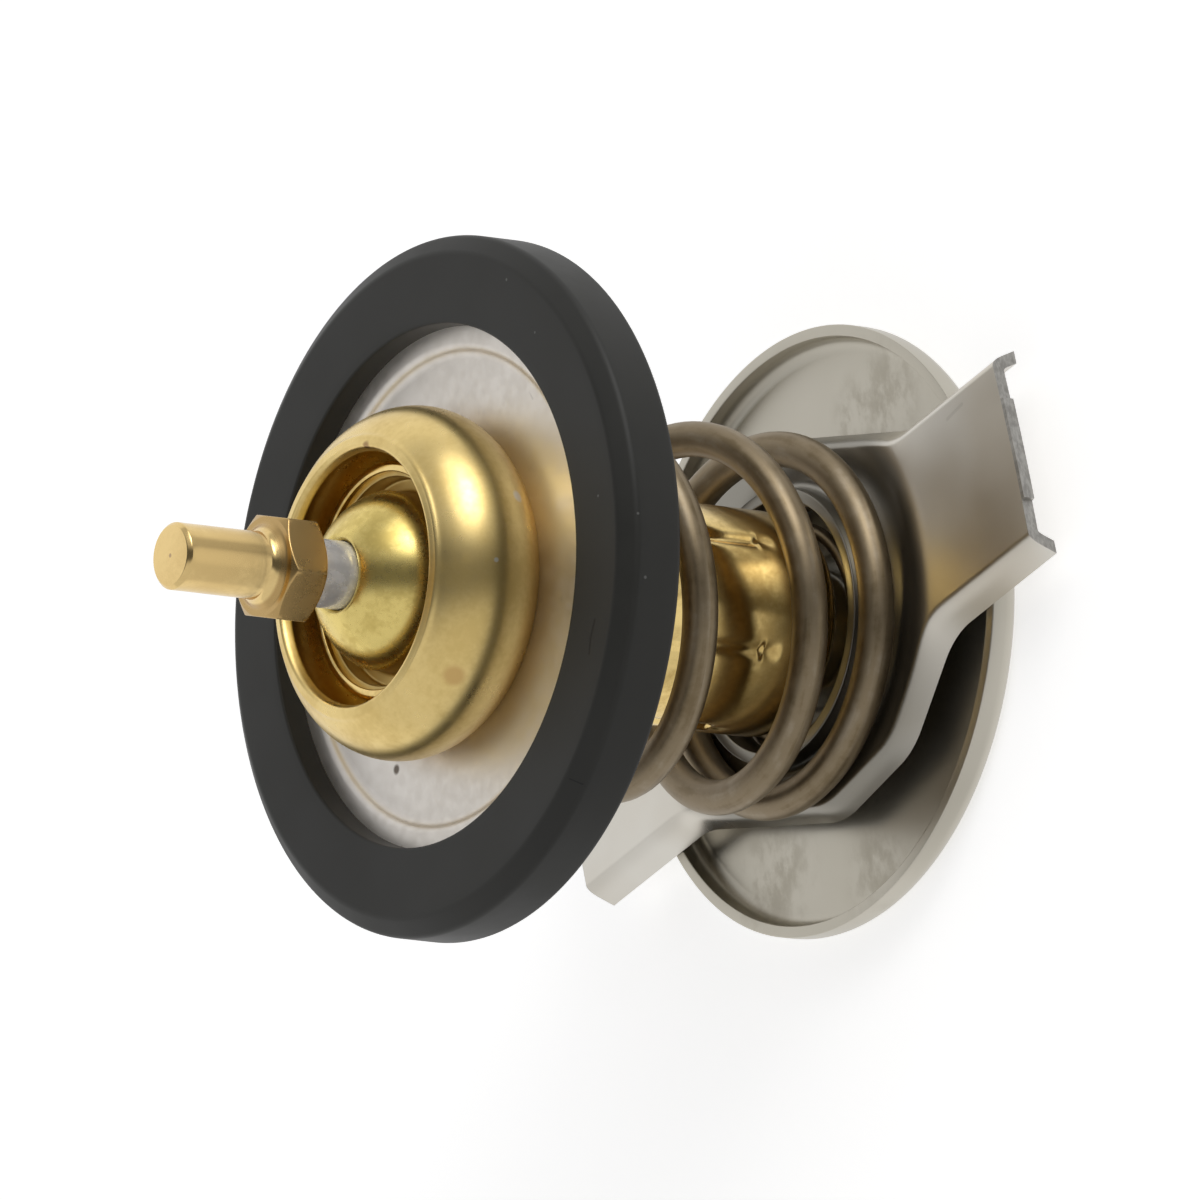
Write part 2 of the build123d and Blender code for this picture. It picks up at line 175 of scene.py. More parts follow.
class Nodes:
    # a short way of adding nodes and joining them: an input given a socket is linked, any other value is set
    def __init__(self, tree):
        self.tree = tree
        tree.nodes.clear()

    def add(self, kind, inputs=None, **settings):
        made = self.tree.nodes.new(kind)
        for key, value in settings.items():
            setattr(made, key, value)
        for key, value in (inputs or {}).items():
            if isinstance(value, bpy.types.NodeSocket):
                self.tree.links.new(value, made.inputs[key])
            else:
                made.inputs[key].default_value = value
        return made

    def math(self, operation, a, b=0.0):
        return self.add("ShaderNodeMath", {0: a, 1: b}, operation=operation).outputs[0]

    def ramp(self, value, stops):
        made = self.add("ShaderNodeValToRGB", {0: value})
        made.color_ramp.interpolation = "EASE"
        elements = made.color_ramp.elements
        while len(elements) < len(stops):
            elements.new(0.5)
        for element, (position, colour) in zip(elements, stops):
            element.position = position
            element.color = (*colour, 1)
        return made.outputs[0]

    def noise(self, vector, scale, detail, roughness):
        return self.add("ShaderNodeTexNoise", {"Vector": vector, "Scale": scale, "Detail": detail,
                                               "Roughness": roughness}).outputs[0]

    def stretched(self, vector, scale, turn=(0, 0, 0)):
        return self.add("ShaderNodeMapping", {"Vector": vector, "Scale": scale, "Rotation": turn}).outputs[0]

    def mixColour(self, share, a, b):
        made = self.add("ShaderNodeMix", data_type="RGBA", blend_type="MIX")
        for index, value in ((0, share), (6, a), (7, b)):
            if isinstance(value, bpy.types.NodeSocket):
                self.tree.links.new(value, made.inputs[index])
            else:
                made.inputs[index].default_value = (*value, 1) if isinstance(value, tuple) else value
        return made.outputs[2]

    def between(self, value, low, high, toLow=0.0, toHigh=1.0):
        return self.add("ShaderNodeMapRange", {0: value, 1: low, 2: high, 3: toLow, 4: toHigh},
                        interpolation_type="SMOOTHSTEP").outputs[0]


def newMaterial(name):
    material = bpy.data.materials.new(name)
    material.use_nodes = True
    return material, Nodes(material.node_tree)


def closeMaterial(nodes, colour, roughness, height, bump, distance, **fixed):
    # the shader with its colour, roughness and bump; a fixed value goes to the socket of its name
    shader = nodes.add("ShaderNodeBsdfPrincipled", {"Base Color": colour, "Roughness": roughness})
    for socket, value in fixed.items():
        shader.inputs[socket.replace("_", " ")].default_value = value
    bumped = nodes.add("ShaderNodeBump", {"Height": height, "Strength": bump, "Distance": distance,
                                          "Filter Width": 1.0})
    nodes.tree.links.new(bumped.outputs[0], shader.inputs["Normal"])
    nodes.add("ShaderNodeOutputMaterial", {0: shader.outputs[0]})


def spotAt(nodes, place, point, size, soft=0.4):
    # one where the surface is within size of the point, in mm, falling off towards the edge
    near = nodes.add("ShaderNodeVectorMath", {0: place, 1: tuple(v * mm for v in point)}, operation="DISTANCE")
    return nodes.between(near.outputs["Value"], size * mm * (1 - soft), size * mm * (1 + soft), 1.0, 0.0)


def lineAt(nodes, place, start, end, width):
    # one within width of the straight line between two points, in mm
    start, end = np.array(start) * mm, np.array(end) * mm
    run = end - start
    off = nodes.add("ShaderNodeVectorMath", {0: place, 1: tuple(start)}, operation="SUBTRACT").outputs[0]
    share = nodes.add("ShaderNodeVectorMath", {0: off, 1: tuple(run / run.dot(run))}, operation="DOT_PRODUCT")
    share = nodes.add("ShaderNodeClamp", {0: share.outputs["Value"]}).outputs[0]
    foot = nodes.add("ShaderNodeVectorMath", {0: tuple(run), 3: share}, operation="SCALE").outputs[0]
    away = nodes.add("ShaderNodeVectorMath", {0: off, 1: foot}, operation="DISTANCE").outputs["Value"]
    return nodes.between(away, width * mm * 0.4, width * mm * 1.2, 1.0, 0.0)


def fromAxis(nodes, place):
    # distance from the part's axis, in metres
    flat = nodes.add("ShaderNodeVectorMath", {0: place, 1: (1, 1, 0)}, operation="MULTIPLY").outputs[0]
    return nodes.add("ShaderNodeVectorMath", {0: flat}, operation="LENGTH").outputs["Value"]


def placeOn(nodes):
    # the place on the object, in metres
    return nodes.add("ShaderNodeTexCoord").outputs["Object"]


def latheCoordinates(nodes):
    # (share of a turn, distance along the profile in mm) as a vector, and the place on the object
    return nodes.add("ShaderNodeTexCoord").outputs["UV"], placeOn(nodes)


# Each brass piece: colours, range of roughness, strength of the turning lines, then spots (middle, size, colour) and
# scratches (ends, width) in mm; painted shade is the height under which, and the distance from the axis past which,
# the brass is painted darker brown as shade
brassLooks = {
    "cup": {
        "light": (0.86, 0.655, 0.275), "dark": (0.74, 0.545, 0.205), "rough": (0.27, 0.35), "lines": 0.06,
        "mottle": 0.25, "paintedShade": None,
        "spots": [
            ((7.99, -13.98, 53.2), 1.0, (0.66, 0.44, 0.17)), ((16.42, 1.22, 48.17), 0.55, (0.80, 0.72, 0.58)),
            ((15.73, -5.49, 51.62), 0.22, (0.90, 0.84, 0.70)), ((5.75, 10.93, 56.49), 0.5, (0.42, 0.27, 0.12)),
        ],
        "scratches": [
            ((-9.6, -10.9, 55.3), (-8.3, -12.2, 54.9), 0.09), ((4.2, -15.7, 52.8), (4.9, -15.1, 53.4), 0.07),
        ],
    },
    "dome": {
        "light": (0.87, 0.69, 0.24), "dark": (0.68, 0.52, 0.16), "rough": (0.24, 0.33), "lines": 0.03,
        "mottle": 0.6, "paintedShade": (53.3, 8.4, (0.64, 0.47, 0.18)),
        "spots": [((-4.09, -6.17, 56.05), 0.4, (0.52, 0.38, 0.16))],
        "scratches": [((1.6, -5.2, 57.4), (2.9, -6.2, 56.9), 0.06)],
    },
    "tip": {
        "light": (0.88, 0.65, 0.29), "dark": (0.78, 0.56, 0.24), "rough": (0.12, 0.19), "lines": 0.06,
        "mottle": 0.1, "paintedShade": (67.3, 3.5, (0.55, 0.37, 0.15)),
        "spots": [((0, 0, 77.17), 0.2, (0.5, 0.36, 0.2))], "scratches": [],
    },
    "case": {
        "light": (0.88, 0.66, 0.27), "dark": (0.62, 0.43, 0.15), "rough": (0.13, 0.22), "lines": 0.03,
        "mottle": 0.3, "paintedShade": None, "spots": [], "scratches": [],
    },
}

# The painted shade's soft edges in mm, how much rougher the painted shade and scratches are, and the bump of
# unevenness and scratches
brassMarks = {"shadeFade": 0.3, "shadeEdge": 0.1, "shadeRough": 0.12, "scratchRough": 0.2, "uneven": 8, "depth": 3.0}


def makeBrass(name, look):
    material, nodes = newMaterial(name)
    uv, place = latheCoordinates(nodes)
    cloud = nodes.noise(place, 90, 4, 0.55)
    fine = nodes.noise(place, 1500, 3, 0.6)
    patch = nodes.noise(place, 420, 4, 0.65)
    lines = nodes.noise(nodes.stretched(uv, (3.0, 9.0, 1)), 1.0, 2, 0.7)
    shade = nodes.math("ADD", nodes.math("MULTIPLY", cloud, 0.8 - look["mottle"]), nodes.math("MULTIPLY", fine, 0.2))
    shade = nodes.math("ADD", shade, nodes.math("MULTIPLY", patch, look["mottle"]))
    colour = nodes.ramp(shade, [(0.38, look["dark"]), (0.58, look["light"])])
    # painted shade: brass low in the groove round the dome, and on the cap's hexagon, is painted darker brown
    if look["paintedShade"]:
        top, radius, tint = look["paintedShade"]
        edge = brassMarks["shadeEdge"]
        low = nodes.between(nodes.add("ShaderNodeSeparateXYZ", {0: place}).outputs[2], top * mm,
                            (top - brassMarks["shadeFade"]) * mm)
        far = nodes.between(fromAxis(nodes, place), (radius - edge) * mm, (radius + edge) * mm)
        shadedBand = nodes.math("MULTIPLY", low, far)
        colour = nodes.mixColour(shadedBand, colour, tint)
    for point, size, tint in look["spots"]:
        colour = nodes.mixColour(spotAt(nodes, place, point, size), colour, tint)
    rough = nodes.between(shade, 0.4, 0.6, look["rough"][1], look["rough"][0])
    if look["paintedShade"]:
        rough = nodes.math("ADD", rough, nodes.math("MULTIPLY", shadedBand, brassMarks["shadeRough"]))
    uneven = nodes.noise(place, 300, 2, 0.5)
    height = nodes.math("ADD", lines, nodes.math("MULTIPLY", uneven, look["mottle"] * brassMarks["uneven"]))
    for start, end, width in look["scratches"]:
        mark = lineAt(nodes, place, start, end, width)
        rough = nodes.math("ADD", rough, nodes.math("MULTIPLY", mark, brassMarks["scratchRough"]))
        height = nodes.math("SUBTRACT", height, nodes.math("MULTIPLY", mark, brassMarks["depth"]))
    closeMaterial(nodes, colour, rough, height, look["lines"], 0.00004, Metallic=1.0)
    return material


def makeSpringWire(name):
    material, nodes = newMaterial(name)
    uv, place = latheCoordinates(nodes)
    streak = nodes.noise(nodes.stretched(uv, (10.0, 0.10, 1)), 1.0, 3, 0.5)
    mottle = nodes.noise(place, 500, 4, 0.6)
    shade = nodes.math("ADD", nodes.math("MULTIPLY", streak, 0.6), nodes.math("MULTIPLY", mottle, 0.4))
    colour = nodes.ramp(shade, [
        (0.34, (0.195, 0.147, 0.085)), (0.52, (0.27, 0.213, 0.137)), (0.68, (0.34, 0.283, 0.203)),
    ])
    rough = nodes.between(shade, 0.35, 0.65, 0.40, 0.48)
    closeMaterial(nodes, colour, rough, shade, 0.08, 0.00003, Metallic=1.0)
    return material


# Marks on the strap in mm: fine scratches (ends and width), the ring of painted shade round the spring's seat
# (radii), and the distance from the middle past which an arm's end is sheared
strapMarks = {
    "scratches": [((29.8, 7.3, 6.3), (32.4, 7.6, 6.3), 0.22), ((-27.0, 2.0, 6.3), (-24.6, 3.1, 6.3), 0.10)],
    "seatShade": (19.6, 23.4), "sheared": 38.09,
}


def makePressedSteel(name):
    material, nodes = newMaterial(name)
    place = placeOn(nodes)
    cloud = nodes.noise(place, 70, 3, 0.5)
    colour = nodes.ramp(cloud, [(0.3, (0.65, 0.61, 0.535)), (0.7, (0.76, 0.73, 0.665))])
    colour = nodes.mixColour(nodes.between(nodes.noise(place, 45, 2, 0.5), 0.52, 0.72, 0.0, 0.4), colour,
                             (0.54, 0.46, 0.34))
    # painted shade: the seat is darkened towards the spring, where the coil shades it
    near, clear = strapMarks["seatShade"]
    seatShade = nodes.between(fromAxis(nodes, place), clear * mm, near * mm, 0.0, 0.7)
    colour = nodes.mixColour(seatShade, colour, (0.14, 0.13, 0.105))
    ends = nodes.math("ABSOLUTE", nodes.add("ShaderNodeSeparateXYZ", {0: place}).outputs[0])
    sheared = nodes.between(ends, (strapMarks["sheared"] - 0.04) * mm, strapMarks["sheared"] * mm)
    burr = nodes.noise(nodes.stretched(place, (300, 900, 2600)), 1.0, 4, 0.7)
    torn = nodes.ramp(burr, [(0.34, (0.36, 0.345, 0.32)), (0.68, (0.56, 0.545, 0.51))])
    colour = nodes.mixColour(sheared, colour, torn)
    rough = nodes.between(cloud, 0.3, 0.7, 0.27, 0.36)
    height = nodes.math("MULTIPLY", nodes.math("MULTIPLY", burr, sheared), 6.0)
    for start, end, width in strapMarks["scratches"]:
        mark = lineAt(nodes, place, start, end, width)
        colour = nodes.mixColour(nodes.math("MULTIPLY", mark, 0.25), colour, (0.35, 0.33, 0.29))
        height = nodes.math("SUBTRACT", height, nodes.math("MULTIPLY", mark, 2.0))
    closeMaterial(nodes, colour, rough, height, 0.04, 0.00003, Metallic=1.0)
    return material


# Rubbed patches on the pan's floor, middle and size in mm
rubbedPatches = [
    ((15.3, 17.6, 1.1), 4.5), ((10.4, 18.4, 1.1), 3.0), ((-15.6, -18.3, 1.1), 5.0), ((-0.5, -24.7, 1.1), 4.0),
]


def makeDiscSteel(name):
    material, nodes = newMaterial(name)
    place = placeOn(nodes)
    rubbed = nodes.noise(nodes.stretched(place, (420, 260, 300), (0, 0, 0.5)), 1.0, 5, 0.7)
    cloud = nodes.noise(place, 60, 3, 0.5)
    colour = nodes.ramp(cloud, [(0.3, (0.53, 0.497, 0.42)), (0.7, (0.61, 0.575, 0.495))])
    worn = 0.0
    for point, size in rubbedPatches:
        worn = nodes.math("MAXIMUM", worn, spotAt(nodes, place, point, size, 0.7))
    worn = nodes.math("MULTIPLY", worn, nodes.between(rubbed, 0.40, 0.64))
    colour = nodes.mixColour(nodes.math("MULTIPLY", worn, 0.4), colour, (0.38, 0.34, 0.26))
    rough = nodes.math("ADD", nodes.between(cloud, 0.3, 0.7, 0.32, 0.38), nodes.math("MULTIPLY", worn, 0.08))
    closeMaterial(nodes, colour, rough, rubbed, 0.02, 0.00003, Metallic=1.0)
    return material


# Marks on the plate in mm: radii of the painted brown reflection and shade round the cup, a spot (middle, size) and a
# scrape (ends, width)
plateMarks = {
    "cupReflectionShade": (15.4, 18.6), "spot": ((-13.8, -12.3, 45.1), 0.45),
    "scrape": ((15.8, 16.4, 45.9), (17.7, 11.2, 45.1), 0.14),
}


def makePlateMetal(name):
    material, nodes = newMaterial(name)
    place = placeOn(nodes)
    fine = nodes.noise(place, 900, 4, 0.6)
    cloud = nodes.noise(place, 60, 3, 0.5)
    colour = nodes.ramp(cloud, [(0.3, (0.83, 0.785, 0.725)), (0.7, (0.90, 0.86, 0.81))])
    # painted reflection of the cup and painted shade round its base: the plate turns brown near the cup
    near, clear = plateMarks["cupReflectionShade"]
    cupReflectionShade = nodes.between(fromAxis(nodes, place), clear * mm, near * mm, 0.0, 0.5)
    colour = nodes.mixColour(cupReflectionShade, colour, (0.45, 0.34, 0.22))
    colour = nodes.mixColour(spotAt(nodes, place, *plateMarks["spot"]), colour, (0.20, 0.17, 0.14))
    scrape = lineAt(nodes, place, *plateMarks["scrape"])
    colour = nodes.mixColour(nodes.math("MULTIPLY", scrape, 0.3), colour, (0.40, 0.37, 0.34))
    closeMaterial(nodes, colour, nodes.between(fine, 0.3, 0.7, 0.42, 0.50), fine, 0.03, 0.00003, Metallic=1.0)
    return material


# Marks on the rubber: pale specks (middle and size) and short cuts (ends and width), in mm
rubberMarks = {
    "specks": [((28.5, -4.8, 48.35), 0.13), ((32.24, -8.34, 47.06), 0.14), ((30.24, -13.94, 46.16), 0.15),
               ((21.5, 21.5, 48.35), 0.14), ((24.1, 14.6, 48.35), 0.12)],
    "cuts": [((24.3, -15.7, 48.35), (23.15, -17.0, 48.35), 0.16), ((23.15, -17.0, 48.35), (22.5, -18.3, 48.35), 0.16),
             ((15.5, -27.9, 48.06), (16.3, -28.8, 47.3), 0.08)],
}


def makeMouldedRubber(name):
    material, nodes = newMaterial(name)
    place = placeOn(nodes)
    grain = nodes.noise(place, 2200, 4, 0.6)
    bloom = nodes.noise(place, 70, 4, 0.6)
    colour = nodes.ramp(bloom, [(0.3, (0.0198, 0.0195, 0.0170)), (0.7, (0.0256, 0.0252, 0.0220))])
    height = grain
    for point, size in rubberMarks["specks"]:
        colour = nodes.mixColour(spotAt(nodes, place, point, size), colour, (0.10, 0.10, 0.095))
    for start, end, width in rubberMarks["cuts"]:
        cut = lineAt(nodes, place, start, end, width)
        colour = nodes.mixColour(cut, colour, (0.004, 0.004, 0.004))
        height = nodes.math("SUBTRACT", height, nodes.math("MULTIPLY", cut, 2.0))
    rough = nodes.between(bloom, 0.3, 0.7, 0.46, 0.56)
    closeMaterial(nodes, colour, rough, height, 0.08, 0.00003, Specular_IOR_Level=0.32)
    return material


def makePinSteel(name):
    material, nodes = newMaterial(name)
    uv, place = latheCoordinates(nodes)
    lines = nodes.noise(nodes.stretched(uv, (2.0, 9.0, 1)), 1.0, 2, 0.5)
    mottle = nodes.noise(place, 800, 3, 0.6)
    colour = nodes.ramp(mottle, [(0.34, (0.70, 0.705, 0.72)), (0.66, (0.86, 0.865, 0.88))])
    closeMaterial(nodes, colour, nodes.between(mottle, 0.3, 0.7, 0.22, 0.30), lines, 0.03, 0.00003, Metallic=0.5)
    return material


def makeDull(name, colour, roughness):
    material, nodes = newMaterial(name)
    place = placeOn(nodes)
    mottle = nodes.noise(place, 500, 4, 0.6)
    dark = tuple(v * 0.8 for v in colour)
    closeMaterial(nodes, nodes.ramp(mottle, [(0.3, dark), (0.7, colour)]),
                  nodes.between(mottle, 0.3, 0.7, roughness - 0.05, roughness + 0.05), mottle, 0.1, 0.00004)
    return material


cupBrass = makeBrass("cup brass", brassLooks["cup"])
domeBrass = makeBrass("dome brass", brassLooks["dome"])
tipBrass = makeBrass("tip brass", brassLooks["tip"])
caseBrass = makeBrass("case brass", brassLooks["case"])
springWire = makeSpringWire("oil toned wire")
pressedSteel = makePressedSteel("pressed stainless")
discSteel = makeDiscSteel("rubbed stainless")
plateMetal = makePlateMetal("pale plate")
mouldedRubber = makeMouldedRubber("moulded rubber")
pinSteel = makePinSteel("drawn pin steel")
waxLook = makeDull("filled wax", (0.62, 0.34, 0.18), 0.6)
ringPlastic = makeDull("stiff ring", (0.80, 0.78, 0.72), 0.5)
print("materials are ready")


def dress(piece, body, node, material):
    piece.data.materials.clear()
    piece.data.materials.append(material)
    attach(piece, body)
    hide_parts(node)
    return piece


# Bulged cup: base on the plate, hub on the case, lip curled in round the guide, with a slight bead before it
cup = {
    "ringR": 10.2, "outR": 6.6, "inR": 5.4, "centreZ": 50.25, "lipDeg": 70.99, "lowOutDeg": -51.29,
    "lowInDeg": -47.01, "floorZ": 46.3, "hubR": 10.77, "hubOutR": 11.97, "hubLowZ": 42.5, "bead": 0.14,
    "beadDeg": 62.0, "beadWideDeg": 2.6, "outStopDeg": 6, "inStopDeg": 2, "columns": 288,
}


def makeCup():
    # two arcs about one ring; the outer one's radius gains a bell curve of the angle, which is the bead
    c = cup
    ring = c["ringR"], c["centreZ"]
    outDeg = np.linspace(c["lowOutDeg"], c["lipDeg"] - c["outStopDeg"], 90)
    outR = c["outR"] + c["bead"] * np.exp(-((outDeg - c["beadDeg"]) / c["beadWideDeg"]) ** 2)
    angle = np.radians(outDeg)
    outer = np.column_stack([ring[0] + outR * np.cos(angle), ring[1] + outR * np.sin(angle)])
    inner = arcPoints(*ring, c["inR"], c["lipDeg"] - c["inStopDeg"], c["lowInDeg"], 50)
    lipOut = arcPoints(*ring, c["outR"], c["lipDeg"], c["lipDeg"], 1)[0]
    lipIn = arcPoints(*ring, c["inR"], c["lipDeg"], c["lipDeg"], 1)[0]
    lip = roundedLine([outer[-1], (*lipOut, 0.65), (*lipIn, 0.28), inner[0]], closed=False)
    hub = roundedLine([
        inner[-1], (c["hubR"], c["floorZ"], 0.5), (c["hubR"], c["hubLowZ"], 0.2),
        (c["hubOutR"], c["hubLowZ"], 0.2), (c["hubOutR"], heights["shoulder"]), outer[0],
    ], closed=False)
    profile = np.vstack([outer, lip[1:-1], inner, hub[1:-1]])
    return turnedPiece("cup", profile, c["columns"], longest=0.8)


dress(makeCup(), "element", "valve_collar", cupBrass)

# Guide: clamped body, groove, dome bent to an arc (half its angle is domeBend), bore, recesses for its two rings
guide = {
    "bodyR": 10.6, "grooveR": 9.9, "grooveZ": 50.65, "domeR": 8.5, "domeBend": 22.0, "flatR": 3.9,
    "boreR": 3.3, "chamfer": 0.35, "wiperR": 4.6, "wiperHigh": 55.121, "wiperLow": 53.621,
    "backingR": 6.2, "backingTop": 49.1, "columns": 256,
}


def makeGuide():
    g = guide
    run, fall = g["domeR"] - g["flatR"], heights["domeTop"] - heights["domeCentre"]
    middle, bend = np.arctan2(fall, run), np.radians(g["domeBend"])
    radius = np.hypot(run, fall) / (2 * np.sin(bend))
    startR, startZ = g["flatR"] - radius * np.sin(middle - bend), heights["domeTop"] - radius * np.cos(middle - bend)
    dome = arcPoints(startR, startZ, radius, 90 - np.degrees(middle + bend), 90 - np.degrees(middle - bend), 48)
    inside = roundedLine([
        dome[-1], (g["boreR"] + g["chamfer"], heights["domeTop"], 0.1),
        (g["boreR"], heights["domeTop"] - g["chamfer"], 0.1), (g["boreR"], g["wiperHigh"]),
        (g["wiperR"], g["wiperHigh"]), (g["wiperR"], g["wiperLow"]), (g["boreR"], g["wiperLow"]),
        (g["boreR"], g["backingTop"]), (g["backingR"], g["backingTop"]), (g["backingR"], heights["guideBase"]),
        (g["bodyR"], heights["guideBase"]), (g["bodyR"], heights["guideShoulder"], 0.15),
        (g["grooveR"], heights["guideShoulder"], 0.2), (g["grooveR"], g["grooveZ"], 0.3),
        (g["domeR"], g["grooveZ"], 0.5), (*dome[0], 0.35), dome[1],
    ], closed=False)
    return turnedPiece("domedGuide", np.vstack([dome[1:], inside[1:-1]]), g["columns"], longest=0.8)


dress(makeGuide(), "element", "piston_guide", domeBrass)

# Wax case: rounded end, fluted wall ending in dents, head crimped over the guide
case = {
    "wallR": 10.75, "inR": 9.95, "bendR": 3.4, "bendInR": 2.6, "headR": 11.4, "headInR": 10.6, "rimR": 10.3,
    "headUnder": 46.3, "flutes": 6, "fluteTurnDeg": 16.65, "fluteWide": 0.7, "fluteDepth": 0.4,
    "fluteLow": 15.7, "fluteHigh": 31.6, "fadeLow": 0.8, "fadeHigh": 1.6,
    "dentLow": 13.9, "dentHigh": 18.3, "dentNarrow": 0.45, "dentWide": 1.3, "dentSharp": 1.5, "dentSlope": 2.0,
    "dentDepth": 0.30, "dentStep": 0.16, "columns": 540,
}


def fluteShape(r, z, theta):
    # on the outer wall the radius loses the deeper of a groove, a bell curve across the flute, and the dent at
    # its low end, a bell curve too, that widens and deepens downwards and stops at a short slope
    c = case
    pitch = 2 * np.pi / c["flutes"]
    off = (theta - np.radians(c["fluteTurnDeg"]) + pitch / 2) % pitch - pitch / 2
    across = np.abs(off) * c["wallR"]
    onWall = (r > c["wallR"] - 0.01) & (r < c["wallR"] + 0.01) & (z < c["headUnder"] - 0.5)
    ends = np.clip((z - c["fluteLow"]) / c["fadeLow"], 0, 1) * np.clip((c["fluteHigh"] - z) / c["fadeHigh"], 0, 1)
    groove = c["fluteDepth"] * np.exp(-(across / c["fluteWide"]) ** 2) * ends * ends * (3 - 2 * ends)
    share = np.clip((c["dentHigh"] - z) / (c["dentHigh"] - c["dentLow"]), 0, 1)
    wide = c["dentNarrow"] + (c["dentWide"] - c["dentNarrow"]) * share
    slope = np.clip((z - c["dentLow"]) / c["dentSlope"], 0, 1)
    bell = np.exp(-(across / wide * c["dentSharp"]) ** 2)
    dent = c["dentDepth"] * bell * share * slope * slope * (3 - 2 * slope)
    return np.where(onWall, r - np.maximum(groove, dent), r), z


def makeCase():
    c = case
    low, floor = heights["caseBottom"], heights["caseBottom"] + c["wallR"] - c["inR"]
    outerBend = arcPoints(c["wallR"] - c["bendR"], low + c["bendR"], c["bendR"], -90, 0, 16)
    innerBend = arcPoints(c["wallR"] - c["bendR"], floor + c["bendInR"], c["bendInR"], 0, -90, 12)
    dentBand = np.arange(c["dentLow"] - 0.3, c["dentHigh"] + 0.5, c["dentStep"])
    band = np.column_stack([np.full(len(dentBand), c["wallR"]), dentBand])
    head = roundedLine([
        band[-1], (c["wallR"], c["headUnder"]), (c["headR"], c["headUnder"]), (c["headR"], heights["headTop"], 0.8),
        (c["rimR"], heights["headTop"], 0.3), (c["rimR"], heights["guideShoulder"]),
        (c["headInR"], heights["guideShoulder"]), (c["headInR"], heights["headFloor"]),
        (c["inR"], heights["headFloor"]), innerBend[0],
    ], closed=False, steps=9)
    axisLow, axisFloor = np.array([[0.0, low]]), np.array([[0.0, floor]])
    profile = np.vstack([axisLow, outerBend, band, head[1:-1], innerBend, axisFloor])
    return turnedPiece("flutedCase", profile, c["columns"], closed=False, shape=fluteShape, longest=1.0, sharpDeg=28)


dress(makeCase(), "element", "wax_case", caseBrass)

# Pin, with the tapered tail and the shank under the cap
pin = {"r": 3.25, "shankR": 2.1, "shankTop": 71.571, "edge": 0.3, "tailLow": 27.9, "tailR": 1.2, "taper": 6.0}


def makePin():
    p = pin
    profile = roundedLine([
        (0, p["tailLow"]), (p["tailR"], p["tailLow"], 0.2), (p["r"], p["tailLow"] + p["taper"], 0.4),
        (p["r"], heights["hexLow"] - p["edge"], 0.12), (p["r"] - p["edge"], heights["hexLow"], 0.05),
        (p["shankR"], heights["hexLow"]), (p["shankR"], p["shankTop"], 0.2), (0, p["shankTop"]),
    ], closed=False)
    return turnedPiece("pin", profile, 96, closed=False, longest=1.5)


dress(makePin(), "piston", "piston_pin", pinSteel)

# Cap: chamfered hexagon, short cone and plain tip, bored for the pin's shank
cap = {
    "flats": 9.5, "turnDeg": 29.8, "corner": 0.75, "tipR": 3.2, "root": 0.9, "edge": 0.35, "boreR": 2.12,
    "boreTop": 72.171, "blur": 0.05, "columns": 540,
}


def hexShape(r, z, theta):
    # within the hexagon's height the radius is cut to half the flats over the cosine of the angle from a flat, the
    # lower of the two being taken softly, over about the blur
    within = (z > heights["hexLow"] - 0.01) & (z < heights["hexTop"] + 0.01)
    off = (theta - np.radians(cap["turnDeg"]) + np.pi / 3) % (np.pi / 3) - np.pi / 6
    flat = cap["flats"] / 2 / np.cos(off)
    wide = r > cap["tipR"] + cap["root"] + 0.02
    blur = cap["blur"]
    eased = -np.log(np.exp(-r / blur) + np.exp(-flat / blur)) * blur
    return np.where(within & wide, np.minimum(eased, r), r), z


def makeCap():
    c = cap
    cornerR = c["flats"] / np.sqrt(3)
    slope = c["corner"] * np.tan(np.radians(30))
    low, high, top = heights["hexLow"], heights["hexTop"], heights["tipTop"]
    lowCone = np.linspace((cornerR - c["corner"], low), (cornerR, low + slope), 12)
    highCone = np.linspace((cornerR, high - slope), (cornerR - c["corner"], high), 12)
    tip = roundedLine([
        highCone[-1], (c["tipR"] + c["root"], high, 0.25), (c["tipR"], high + c["root"], 0.3),
        (c["tipR"], top - c["edge"], 0.1), (c["tipR"] - c["edge"], top, 0.1), (0, top),
    ], closed=False)
    bore = roundedLine([(0, c["boreTop"]), (c["boreR"], c["boreTop"]), (c["boreR"], low), lowCone[0]], closed=False)
    profile = np.vstack([bore[:-1], lowCone, highCone[:-1], tip])
    return turnedPiece("hexagonCap", profile, c["columns"], closed=False, shape=hexShape, longest=0.6, sharpDeg=24)


dress(makeCap(), "piston", "piston_cap", tipBrass)

# Valve plate with its round step
plate = {"holeR": 12.02, "stepR": 22.3, "stepRun": 0.5, "edgeR": 31.0, "sheet": 1.2, "rise": 0.8}


def makePlate():
    p = plate
    back, front = heights["plateBack"], heights["shoulder"]
    profile = roundedLine([
        (p["holeR"], back, 0.1), (p["stepR"], back, 0.5), (p["stepR"] + p["stepRun"], back + p["rise"], 0.4),
        (p["edgeR"], back + p["rise"]), (p["edgeR"], front + p["rise"]),
        (p["stepR"] + p["stepRun"], front + p["rise"], 0.5), (p["stepR"], front, 0.6), (p["holeR"], front, 0.1),
    ], steps=8)
    return turnedPiece("steppedPlate", profile, 256, longest=1.5)


dress(makePlate(), "element", "valve_plate", plateMetal)

# Rubber rim seal, moulded round the plate's edge
seal = {
    "outR": 33.3, "faceR": 31.55, "bevel": 1.2, "inR": 24.8, "backInR": 26.2, "low": 42.1, "plateBack": 44.7,
    "plateEdgeR": 31.0,
}


